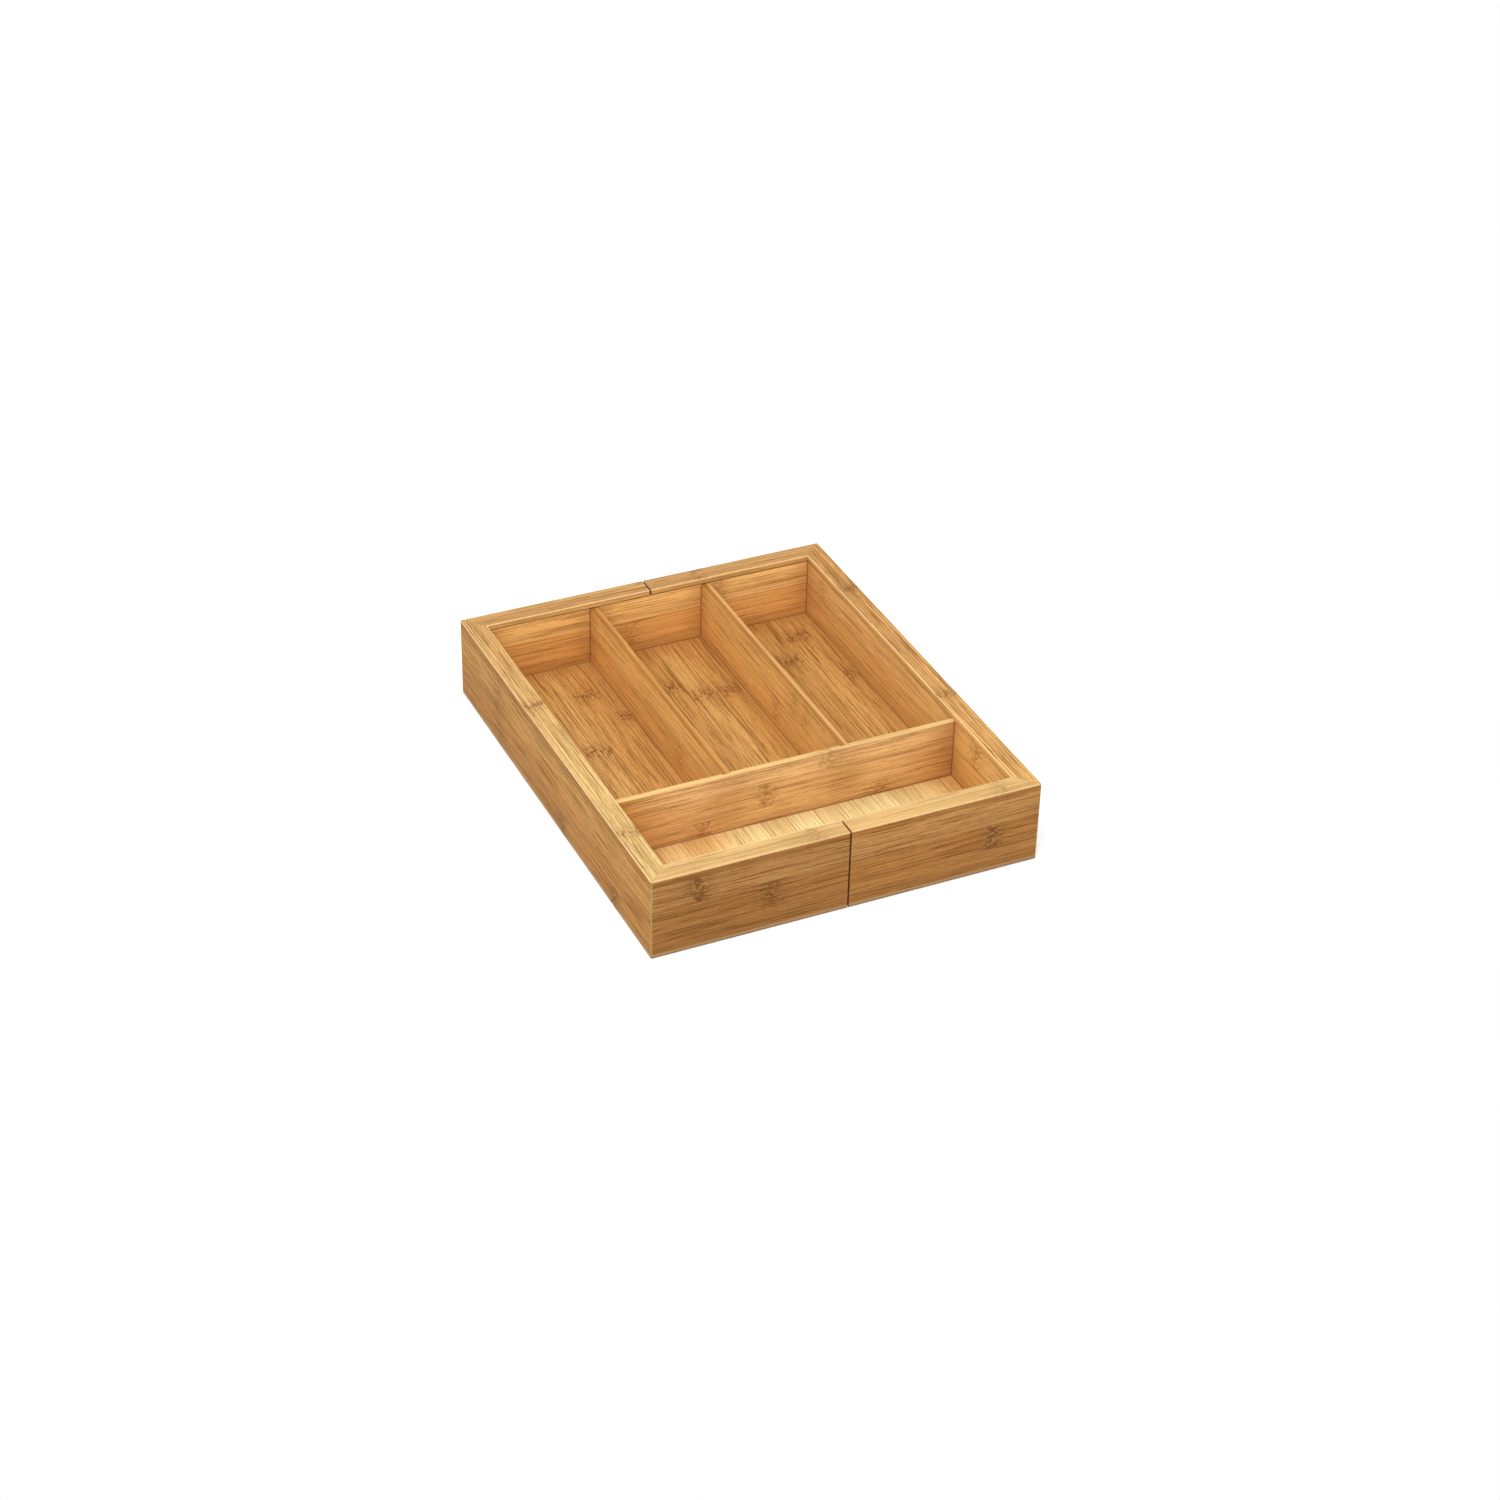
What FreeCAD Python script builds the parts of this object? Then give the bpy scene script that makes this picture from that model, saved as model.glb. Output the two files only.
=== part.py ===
"""Expandable cutlery tray in laminated bamboo.

A divided core box sits between two sleeves. Each sleeve is a U of three mitred rails round a base panel, and
slides out sideways to open one more compartment. X runs along the slide, Y from front to back, Z up. The origin
is the middle of the tray's underside. All sizes are in millimetres, with the sleeves closed.
"""

import FreeCAD
import Part
import math
import os

# Overall sizes
closed_width = 300.0
depth = 365.0
height = 65.0
travel = 90.0

# Rails of the sleeves: an upright wall with a lip turned in over the core
rim_width = 16.0
lip_thickness = 4.0
rail_wall = 9.0
seam_gap = 1.2
rim_easing = 1.0
lip_easing = 0.6
corner_easing = 1.6
foot_easing = 1.5
seam_easing = 0.4

# Base panels of the sleeves, held in a groove round the rails
sleeve_base_thickness = 4.0
sleeve_base_raise = 2.0
sleeve_groove_depth = 4.0

# Room for the core to slide in the sleeves
side_clearance = 0.5
lip_clearance = 1.2
running_gap = 0.4

# Walls and floor of the core
core_wall = 6.0
corner_rabbet_depth = 3.0
core_base_thickness = 3.8
core_base_raise = 2.4
core_groove_depth = 3.0
board_easing = 0.5

# Dividers, housed in dados
front_compartment_depth = 86.5
middle_compartment_width = 86.4
cross_divider_thickness = 4.8
long_divider_thickness = 6.8
wall_dado_depth = 2.0
cross_dado_depth = 1.6

# Stop strips on the base panels
stop_strip_width = 8.0
stop_strip_inset = 20.0
stop_headroom = 0.6
stop_clearance = 0.3

# Room left for glue at the bottom of grooves and dados, and the overrun of cuts
glue_gap = 0.1
overrun = 1.0

# Places worked out from the sizes above
half_width = closed_width / 2
half_depth = depth / 2
lip_bottom = height - lip_thickness
sleeve_base_top = sleeve_base_raise + sleeve_base_thickness
core_half_width = half_width - rail_wall - side_clearance
core_half_depth = half_depth - rail_wall - side_clearance
inner_half_width = core_half_width - core_wall
inner_half_depth = core_half_depth - core_wall
core_bottom = sleeve_base_top + running_gap
core_top = lip_bottom - lip_clearance
core_base_bottom = core_bottom + core_base_raise
floor_top = core_base_bottom + core_base_thickness
cross_front = front_compartment_depth - inner_half_depth
cross_back = cross_front + cross_divider_thickness
long_divider_centre = (middle_compartment_width + long_divider_thickness) / 2
stop_face = inner_half_width - travel - stop_clearance

X_AXIS = FreeCAD.Vector(1, 0, 0)
Y_AXIS = FreeCAD.Vector(0, 1, 0)
Z_AXIS = FreeCAD.Vector(0, 0, 1)
ORIGIN = FreeCAD.Vector(0, 0, 0)


def eased_wire(corners):
    """Closed outline through corners given as (point, easing radius), with a tangent arc at each eased one."""
    ends = []
    for index, (point, radius) in enumerate(corners):
        before = (corners[index - 1][0] - point).normalize()
        after = (corners[(index + 1) % len(corners)][0] - point).normalize()
        half_angle = before.getAngle(after) / 2
        reach = radius / math.tan(half_angle)
        middle = (before + after).normalize() * (radius / math.sin(half_angle) - radius)
        ends.append((point + before * reach, point + middle, point + after * reach, radius))
    edges = []
    for index, (start, middle, end, radius) in enumerate(ends):
        if radius > 0:
            edges.append(Part.Arc(start, middle, end).toShape())
        edges.append(Part.LineSegment(end, ends[(index + 1) % len(ends)][0]).toShape())
    return Part.Wire(edges)


def eased_prism(corners, sweep):
    """Solid swept from an eased outline along a vector."""
    return Part.Face(eased_wire(corners)).extrude(sweep)


def block(low, high):
    """Plain box between two corners, for panels and for cuts."""
    size = [b - a for a, b in zip(low, high)]
    return Part.makeBox(*size, FreeCAD.Vector(*low))


def mirrored_x(shape):
    """The same piece on the other side of the tray."""
    return shape.mirror(ORIGIN, X_AXIS)


def mirrored_y(shape):
    """The same piece at the other end of the tray."""
    return shape.mirror(ORIGIN, Y_AXIS)


def rail_section(place):
    """Corners of a rail's section; place turns a distance in from the outer face and a height into a point."""
    groove_bottom = rail_wall - sleeve_groove_depth
    return [
        (place(0, 0), foot_easing),
        (place(0, height), rim_easing),
        (place(rim_width, height), lip_easing),
        (place(rim_width, lip_bottom), 0),
        (place(rail_wall, lip_bottom), 0),
        (place(rail_wall, sleeve_base_top), 0),
        (place(groove_bottom, sleeve_base_top), 0),
        (place(groove_bottom, sleeve_base_raise), 0),
        (place(rail_wall, sleeve_base_raise), 0),
        (place(rail_wall, 0), 0),
    ]


def mitre_plan(corners):
    """Upright prism over a plan outline, as tall as a rail and cut clear of it above and below."""
    lowered = [(FreeCAD.Vector(x, y, -overrun), easing) for x, y, easing in corners]
    return eased_prism(lowered, Z_AXIS * (height + overrun * 2))


def corner_post():
    """Upright prism with the tray's outline, rounded at the four outer corners."""
    return mitre_plan([
        (-half_width, -half_depth, corner_easing),
        (half_width, -half_depth, corner_easing),
        (half_width, half_depth, corner_easing),
        (-half_width, half_depth, corner_easing),
    ])


def right_side_rail():
    """Long rail on the right, mitred at both ends."""
    section = rail_section(lambda inset, z: FreeCAD.Vector(half_width - inset, -half_depth, z))
    bar = eased_prism(section, Y_AXIS * depth)
    plan = mitre_plan([
        (half_width, -half_depth, 0),
        (half_width, half_depth, 0),
        (half_width - rim_width, half_depth - rim_width, 0),
        (half_width - rim_width, rim_width - half_depth, 0),
    ])
    return bar.common(plan).common(corner_post())


def right_front_rail():
    """Half rail at the front right, from the seam to the mitred corner."""
    seam = seam_gap / 2
    section = rail_section(lambda inset, z: FreeCAD.Vector(0, inset - half_depth, z))
    bar = eased_prism(section, X_AXIS * half_width)
    plan = mitre_plan([
        (seam, -half_depth, seam_easing),
        (half_width, -half_depth, 0),
        (half_width - rim_width, rim_width - half_depth, 0),
        (seam, rim_width - half_depth, seam_easing),
    ])
    seam_face = [
        (FreeCAD.Vector(seam, -half_depth - overrun, 0), seam_easing),
        (FreeCAD.Vector(half_width, -half_depth - overrun, 0), 0),
        (FreeCAD.Vector(half_width, -half_depth - overrun, height), 0),
        (FreeCAD.Vector(seam, -half_depth - overrun, height), seam_easing),
    ]
    elevation = eased_prism(seam_face, Y_AXIS * (rim_width + overrun * 2))
    return bar.common(plan).common(elevation).common(corner_post())


def right_base_panel():
    """Thin panel in the grooves of the right sleeve's rails, open towards the seam."""
    reach = sleeve_groove_depth - rail_wall - glue_gap
    return block(
        (seam_gap / 2, -half_depth - reach, sleeve_base_raise),
        (half_width + reach, half_depth + reach, sleeve_base_top),
    )


def right_stop_strip():
    """Strip glued on the right base panel; it meets the core's side wall when the sleeve is fully out."""
    half_length = inner_half_depth - stop_strip_inset
    return block(
        (stop_face - stop_strip_width, -half_length, sleeve_base_top),
        (stop_face, half_length, core_base_bottom - stop_headroom),
    )


def board_section(place, thickness, bottom, top_easing):
    """Corners of an upright board's section, eased along its top."""
    return [
        (place(0, bottom), 0),
        (place(thickness, bottom), 0),
        (place(thickness, core_top), top_easing),
        (place(0, core_top), top_easing),
    ]


def base_groove():
    """Room for the core's floor panel in the four walls."""
    half_x = inner_half_width + core_groove_depth
    half_y = inner_half_depth + core_groove_depth
    return block((-half_x, -half_y, core_base_bottom), (half_x, half_y, floor_top))


def core_base():
    """Floor panel of the core, tongued into all four walls."""
    half_x = inner_half_width + core_groove_depth - glue_gap
    half_y = inner_half_depth + core_groove_depth - glue_gap
    return block((-half_x, -half_y, core_base_bottom), (half_x, half_y, floor_top))


def plain_end_wall(outer_y, inward):
    """Wall across the tray's width, rabbeted at its ends for the side walls and grooved for the floor."""
    section = board_section(
        lambda inset, z: FreeCAD.Vector(-core_half_width, outer_y + inset * inward, z),
        core_wall, core_bottom, board_easing,
    )
    wall = eased_prism(section, X_AXIS * (core_half_width * 2))
    half_length = core_half_depth - core_wall + corner_rabbet_depth
    room = block(
        (inner_half_width, -half_length, core_bottom - overrun),
        (core_half_width + overrun, half_length, core_top + overrun),
    )
    return wall.cut(room).cut(mirrored_x(room)).cut(base_groove())


def long_divider_slots():
    """Dados for the two long dividers, in the back wall and the cross divider."""
    half = long_divider_thickness / 2
    slot = block(
        (long_divider_centre - half, cross_back - cross_dado_depth, floor_top),
        (long_divider_centre + half, inner_half_depth + wall_dado_depth, core_top + overrun),
    )
    return slot, mirrored_x(slot)


def core_front_wall():
    """Front wall of the core."""
    return plain_end_wall(-core_half_depth, 1)


def core_back_wall():
    """Back wall of the core, with a dado for each long divider."""
    wall = plain_end_wall(core_half_depth, -1)
    for slot in long_divider_slots():
        wall = wall.cut(slot)
    return wall


def core_right_wall():
    """Right wall of the core, housed in the end walls and with a dado for the cross divider."""
    half_length = inner_half_depth + corner_rabbet_depth
    section = board_section(
        lambda inset, z: FreeCAD.Vector(inner_half_width + inset, -half_length, z),
        core_wall, core_bottom, board_easing,
    )
    wall = eased_prism(section, Y_AXIS * (half_length * 2))
    dado = block(
        (inner_half_width - overrun, cross_front, floor_top),
        (inner_half_width + wall_dado_depth, cross_back, core_top + overrun),
    )
    return wall.cut(base_groove()).cut(dado)


def cross_divider():
    """Divider behind the front compartment, housed in the side walls."""
    half_length = inner_half_width + wall_dado_depth - glue_gap
    section = board_section(
        lambda inset, z: FreeCAD.Vector(-half_length, cross_front + inset, z),
        cross_divider_thickness, floor_top, board_easing,
    )
    board = eased_prism(section, X_AXIS * (half_length * 2))
    for slot in long_divider_slots():
        board = board.cut(slot)
    return board


def right_long_divider():
    """Divider from the cross divider to the back wall, housed at both ends."""
    front = cross_back - cross_dado_depth + glue_gap
    back = inner_half_depth + wall_dado_depth - glue_gap
    left_face = long_divider_centre - long_divider_thickness / 2
    section = board_section(
        lambda inset, z: FreeCAD.Vector(left_face + inset, front, z),
        long_divider_thickness, floor_top, board_easing,
    )
    return eased_prism(section, Y_AXIS * (back - front))


def all_parts():
    """Every piece by name, the left ones as mirror images of the right ones."""
    parts = {
        "core_base": core_base(),
        "core_front_wall": core_front_wall(),
        "core_back_wall": core_back_wall(),
        "core_right_wall": core_right_wall(),
        "cross_divider": cross_divider(),
        "right_long_divider": right_long_divider(),
        "right_side_rail": right_side_rail(),
        "right_front_rail": right_front_rail(),
        "right_base_panel": right_base_panel(),
        "right_stop_strip": right_stop_strip(),
    }
    parts["right_back_rail"] = mirrored_y(parts["right_front_rail"])
    for name in [name for name in parts if "right" in name]:
        parts[name.replace("right", "left")] = mirrored_x(parts[name])
    return parts


os.makedirs("parts", exist_ok=True)
for name, shape in all_parts().items():
    if not shape.isValid() or len(shape.Solids) != 1:
        raise ValueError(name + " is not one sound solid")
    shape.exportStep("parts/" + name + ".step")
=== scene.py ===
import math
from collections import namedtuple

import bmesh
import bpy
from bpy.props import FloatProperty, FloatVectorProperty, PointerProperty
from mathutils import Matrix, Vector


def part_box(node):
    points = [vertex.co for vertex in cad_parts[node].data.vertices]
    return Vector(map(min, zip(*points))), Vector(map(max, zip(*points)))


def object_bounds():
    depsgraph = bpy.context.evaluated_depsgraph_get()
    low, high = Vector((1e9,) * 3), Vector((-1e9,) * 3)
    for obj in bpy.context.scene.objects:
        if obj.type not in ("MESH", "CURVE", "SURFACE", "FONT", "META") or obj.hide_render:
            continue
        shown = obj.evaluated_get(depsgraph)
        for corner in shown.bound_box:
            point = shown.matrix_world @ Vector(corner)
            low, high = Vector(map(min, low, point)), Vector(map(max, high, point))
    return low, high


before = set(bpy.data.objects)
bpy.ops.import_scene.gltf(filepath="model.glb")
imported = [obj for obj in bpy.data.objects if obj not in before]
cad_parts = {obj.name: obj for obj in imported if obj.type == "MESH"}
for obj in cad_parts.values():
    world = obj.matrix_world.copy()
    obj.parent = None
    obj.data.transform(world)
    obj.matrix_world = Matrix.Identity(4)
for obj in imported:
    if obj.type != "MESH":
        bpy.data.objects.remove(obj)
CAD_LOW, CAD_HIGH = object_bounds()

bl_info = {
    "name": "Expanding bamboo cutlery tray",
    "version": (1, 0, 0),
    "blender": (4, 5, 0),
    "location": "View3D > Sidebar > Tray",
    "description": "Finishes the boards of an expanding bamboo cutlery tray and sets its stage",
    "category": "Object",
}

MILLIMETRE = 0.001
PHOTO_PIXELS = 1500

# The lip of a rail with the painted shadow along its lower edge, the painted shadow where a rail stands on
# the floor, and the pale sanded edge along a rail's foot with a painted reflection of the floor.
LIP_THICKNESS = 4.0 * MILLIMETRE
LIP_SHADOW_HEIGHT = 1.5 * MILLIMETRE
LIP_SHADOW_FADE = 0.5 * MILLIMETRE
FLOOR_SHADOW_HEIGHT = 1.1 * MILLIMETRE
FOOT_REFLECTION_HEIGHT = 4.2 * MILLIMETRE
FOOT_REFLECTION_FULL_SHARE = 0.7

# Sizes of the grain that have no setting in the panel.
STREAK_LENGTH = 400.0 * MILLIMETRE
WANDER_LENGTH = 150.0 * MILLIMETRE
WANDER_WIDTH = 35.0 * MILLIMETRE
GLUE_BREAK_LENGTH = 40.0 * MILLIMETRE
RIDGE_LENGTH = 60.0 * MILLIMETRE
RIDGE_BEND_WIDTH = 9.0 * MILLIMETRE
RIDGE_BEND_REACH = 9.0 * MILLIMETRE
RAGGED_SIZE = 4.0 * MILLIMETRE

# Distances that stand for no corner, and for no knuckle, nearby.
NO_CORNER = 1.0
NO_KNUCKLE = 10.0

# How strongly each mark on the bamboo shows, from 0 to 1. The corner shade and the gap are painted shade and
# shadow; the corner line and the edge are partly real and partly painted shadow and highlight.
STREAK_DEPTH = 0.07
FIBRE_DEPTH = 0.18
FINE_FIBRE_DEPTH = 0.55
DASH_DEPTH = 0.18
EDGE_HIGHLIGHT_DEPTH = 0.65
PAINTED_CORNER_SHADE_DEPTH = 0.3
JOINT_AND_SHADOW_LINE_DEPTH = 0.85
GAP_SHADOW_DEPTH = 0.9
KNUCKLE_SHADE_DEPTH = 0.2
RIDGE_DEPTH = 0.45
MITRE_DEPTH = 0.25
END_GRAIN_DEPTH = 0.85

# How far tone and warmth turn from one strip to the next and from one layer to the next, in radians.
TONE_TURNS = (2.4, 1.9)
WARMTH_TURNS = (3.7, 2.3)

# How far one step of a board's seed shifts the bamboo that the board is cut from.
SEED_STEP = (1.73, 0.917, 0.613)

WARMER_TINT = (1.0, 0.97, 0.92)
WHITE = (1.0, 1.0, 1.0)
OFF_WHITE = (0.9, 0.9, 0.9)

# How one side of a board looks: its tint over the bamboo's own colours, how strongly its fibres show, and
# how much its strips and streaks differ in tone.
Look = namedtuple("Look", "tint fibre tone")

# The inner ply of a board, with the looks of its top and of its broad side. inwards is 1 where it lies at
# the high side of the board, and -1 at the low side.
Ply = namedtuple("Ply", "inwards top inside")

# The layers of a board in millimetres: their thickness and the width of the lines between them.
# joint_share says where one such line lies through the board.
Layers = namedtuple("Layers", "thickness line_width joint_share")

# A stretch of a board with a look of its own, which shows in full at one share of the board's length and is
# gone at the other. It is kept to the board's narrow sides or to its broad ones.
Stretch = namedtuple("Stretch", "full_share gone_share look only_edge flanks", defaults=((),))

# A flank of a stretch with a look of its own, in the same way at shares of the board's width.
Flank = namedtuple("Flank", "full_share gone_share look")

# One board of the tray. lay names the axes of its grain, of its strips side by side and of its layers.
# joint_share says where a glue line lies across its strips. A broad side shows face, a narrow one edge.
Board = namedtuple(
    "Board", "node lay joint_share layers seed face edge knuckles ply stretches", defaults=(None, ()))

# A knuckle of the stalk: how far along the grain and across the strips, its size against a common one, and
# how dark it is.
Knuckle = namedtuple("Knuckle", "along_share across_share size_share depth")


def on_face(along_share, across_share):
    """A knuckle on a board's broad side."""
    return Knuckle(along_share, across_share, size_share=1.0, depth=0.95)


def faint(along_share, across_share):
    """A knuckle that was nearly planed away."""
    return Knuckle(along_share, across_share, size_share=1.0, depth=0.4)


def worn(along_share, across_share):
    """A knuckle that was planed down in part."""
    return Knuckle(along_share, across_share, size_share=1.0, depth=0.6)


def on_rim(along_share, depth=0.75):
    """A knuckle on the rim of a rail, where only the thin edge of its strip shows."""
    return Knuckle(along_share, across_share=0.97, size_share=0.7, depth=depth)


def tinted(look, share):
    """The same look, paler or darker by a share."""
    return look._replace(tint=tuple(share * part for part in look.tint))


# Share of a board that its outer ply takes. On a rail that is the upright wall, and the rest of its rim is
# the lip.
OUTER_PLY_SHARE = 9.0 / 16.0

SIDE_FACE = Look((0.90, 0.85, 0.57), 1.5, 1.6)
LEFT_RIM = Look((0.80, 0.92, 0.97), 1.5, 0.7)
# Paler copies of the side rims, shown towards their front ends: painted light that falls off towards the
# back.
LEFT_RIM_LIT_FRONT = Look((0.94, 1.27, 1.53), 1.5, 0.7)
RIGHT_RIM = Look((0.76, 0.76, 0.70), 1.8, 0.8)
RIGHT_RIM_LIT_FRONT = Look((0.95, 1.07, 1.11), 1.8, 0.8)
FRONT_FACE = Look((0.85, 0.79, 0.72), 1.35, 1.4)
# FRONT_RIM and FRONT_LIP are paler than BACK_RIM: painted light on the front rails and painted shade on the
# back rails, for light that falls off towards the back.
FRONT_RIM = Look((0.88, 1.15, 1.44), 0.8, 0.6)
FRONT_LIP = Look((0.87, 1.09, 1.33), 0.8, 0.6)
BACK_RIM = Look((0.71, 0.77, 0.82), 1.0, 0.7)
INNER_LIP = Look((0.88, 1.02, 1.07), 0.7, 0.5)
OUTER = Look((0.83, 0.82, 0.78), 0.9, 0.9)
INNER = Look((0.93, 1.06, 1.12), 1.0, 0.6)
BACK_WALL = Look((1.14, 1.33, 1.41), 1.0, 1.6)
# Darker copy of the back wall, shown towards its left end: painted shade that evens out the lamp lighting it
# from the left.
BACK_WALL_SHADED_LEFT = Look((1.00, 1.11, 1.07), 1.0, 1.6)
INNER_EDGE = Look((0.93, 1.19, 1.39), 0.5, 0.3)
CROSS = Look((1.12, 1.42, 1.95), 1.1, 0.7)
# Darker copies of the cross divider at its two ends: painted shade where the side walls shade it.
CROSS_SHADED_LEFT_END = Look((0.93, 0.99, 0.85), 1.1, 0.7)
CROSS_SHADED_RIGHT_END = Look((0.89, 1.05, 1.32), 1.1, 0.7)
LONG = Look((0.99, 1.12, 1.10), 1.1, 0.4)
LEFT_LONG_TOP = Look((0.52, 0.40, 0.21), 0.8, 0.3)
RIGHT_LONG_TOP = Look((0.53, 0.45, 0.26), 0.8, 0.3)
LEFT_PLY_TOP = Look((0.77, 0.70, 0.54), 0.7, 0.3)
RIGHT_PLY_TOP = Look((0.82, 0.86, 0.90), 0.5, 0.3)
FLOOR = Look((0.80, 0.87, 0.80), 1.5, 0.5)
PALE_FLOOR = Look((1.11, 1.82, 2.74), 0.9, 0.7)
# Darker, warmer copies of the front floor towards its two ends: painted shade with painted warm bounce light
# from the walls.
PALE_FLOOR_SHADED_LEFT = Look((1.06, 1.41, 1.79), 0.9, 0.7)
PALE_FLOOR_SHADED_RIGHT = Look((0.93, 1.16, 1.30), 0.9, 0.7)

SIDE_LAYERS = Layers(2.7, 0.5, 0.085)
FRONT_LAYERS = Layers(11.0, 0.4, OUTER_PLY_SHARE)
BACK_LAYERS = Layers(11.0, 0.4, 1.0 - OUTER_PLY_SHARE)
WHOLE = Layers(20.0, 0.4, -1.0)

SIDE_RAILS = (
    Board("left_side_rail", "YZX", 0.59, SIDE_LAYERS, 1.0, SIDE_FACE, LEFT_RIM, (
        on_rim(0.640), on_rim(0.162), faint(0.784, 0.75), faint(0.790, 0.45), faint(0.780, 0.1),
        on_face(0.172, 0.18), on_face(0.443, 0.12)),
        Ply(1.0, LEFT_RIM, INNER_LIP), (Stretch(0.0, 1.0, LEFT_RIM_LIT_FRONT, True),)),
    Board("right_side_rail", "YZX", 0.63, SIDE_LAYERS, 2.6, SIDE_FACE, RIGHT_RIM, (
        on_rim(0.800), on_rim(0.356), on_face(0.50, 0.45), on_face(0.20, 0.75), on_face(0.86, 0.2)),
        Ply(-1.0, RIGHT_RIM, INNER_LIP), (Stretch(0.0, 1.0, RIGHT_RIM_LIT_FRONT, True),)),
)
END_RAILS = (
    Board("left_front_rail", "XZY", 0.60, FRONT_LAYERS, 0.97,
          tinted(FRONT_FACE, 0.95), tinted(FRONT_RIM, 0.96), (
              on_face(0.235, 0.77), on_face(0.592, 0.44), on_rim(0.840, 0.4)),
          Ply(1.0, FRONT_LIP, INNER_LIP)),
    Board("right_front_rail", "XZY", 0.615, FRONT_LAYERS, 7.1,
          tinted(FRONT_FACE, 1.08), tinted(FRONT_RIM, 1.06), (
              on_face(0.752, 0.49), on_rim(0.806, 0.45)),
          Ply(1.0, FRONT_LIP, INNER_LIP)),
    Board("left_back_rail", "XZY", 0.66, BACK_LAYERS, 13.5, FRONT_FACE, tinted(BACK_RIM, 1.05), (
        on_rim(0.295), on_rim(0.536), on_face(0.40, 0.5)),
        Ply(-1.0, BACK_RIM, INNER_LIP)),
    Board("right_back_rail", "XZY", 0.58, BACK_LAYERS, 19.8, FRONT_FACE, BACK_RIM, (
        on_rim(0.273), on_face(0.62, 0.75), on_face(0.30, 0.3)),
        Ply(-1.0, BACK_RIM, INNER_LIP)),
)
CORE_WALLS = (
    Board("core_front_wall", "XZY", 0.64, WHOLE, 3.4, OUTER, OUTER, (
        faint(0.3, 0.5), on_face(0.7, 0.8)),
        Ply(1.0, OUTER, INNER)),
    Board("core_back_wall", "XZY", 0.64, WHOLE, 5.35, OUTER, OUTER, (
        faint(0.445, 0.4), faint(0.71, 0.93)),
        Ply(-1.0, OUTER, BACK_WALL), (Stretch(0.0, 1.0, BACK_WALL_SHADED_LEFT, False),)),
    Board("core_left_wall", "YZX", 0.64, WHOLE, 8.4, OUTER, OUTER, (
        faint(0.35, 0.5), on_face(0.75, 0.8)),
        Ply(1.0, OUTER, INNER)),
    Board("core_right_wall", "YZX", 0.60, WHOLE, 11.6, OUTER, OUTER, (
        faint(0.91, 0.86), worn(0.17, 0.70)),
        Ply(-1.0, OUTER, INNER)),
)
DIVIDERS = (
    Board("cross_divider", "XZY", 0.69, WHOLE, 17.9, CROSS, INNER_EDGE, (
        worn(0.438, 0.45), faint(0.619, 0.85), worn(0.262, 0.12), worn(0.783, 0.12)),
        None, (Stretch(0.0, 0.2, CROSS_SHADED_LEFT_END, False), Stretch(1.0, 0.82, CROSS_SHADED_RIGHT_END, False))),
    Board("left_long_divider", "YZX", 0.58, FRONT_LAYERS, 12.3, LONG, LEFT_LONG_TOP, (
        faint(0.30, 0.3),),
        Ply(1.0, LEFT_PLY_TOP, LONG)),
    Board("right_long_divider", "YZX", 0.55, FRONT_LAYERS, 14.1, LONG, RIGHT_LONG_TOP, (
        faint(0.430, 0.3), faint(0.232, 0.6), faint(0.309, 0.97)),
        Ply(1.0, RIGHT_PLY_TOP, LONG)),
)
CORE_FLOOR = (
    Board("core_base", "YXZ", 0.5, WHOLE, 4.2, FLOOR, FLOOR, (
        on_face(0.862, 0.22), on_face(0.752, 0.30), on_face(0.643, 0.17), on_face(0.817, 0.466),
        on_face(0.766, 0.552), on_face(0.760, 0.61), on_face(0.903, 0.88), on_face(0.816, 0.82),
        on_face(0.709, 0.95)),
        None, (Stretch(0.265, 0.266, PALE_FLOOR, False, (
            Flank(0.25, 0.40, PALE_FLOOR_SHADED_LEFT), Flank(0.97, 0.84, PALE_FLOOR_SHADED_RIGHT))),)),
)
SLEEVE_BASES = (
    Board("left_base_panel", "YXZ", 0.5, WHOLE, 15.0, FLOOR, FLOOR, (
        on_face(0.2, 0.3), on_face(0.6, 0.6), on_face(0.85, 0.85))),
    Board("right_base_panel", "YXZ", 0.5, WHOLE, 16.0, FLOOR, FLOOR, (
        on_face(0.3, 0.2), on_face(0.55, 0.75), on_face(0.8, 0.5))),
    Board("left_stop_strip", "YXZ", 0.0, WHOLE, 17.0, INNER, INNER, (on_face(0.4, 0.5),)),
    Board("right_stop_strip", "YXZ", 0.0, WHOLE, 18.0, INNER, INNER, (on_face(0.7, 0.5),)),
)


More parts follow.
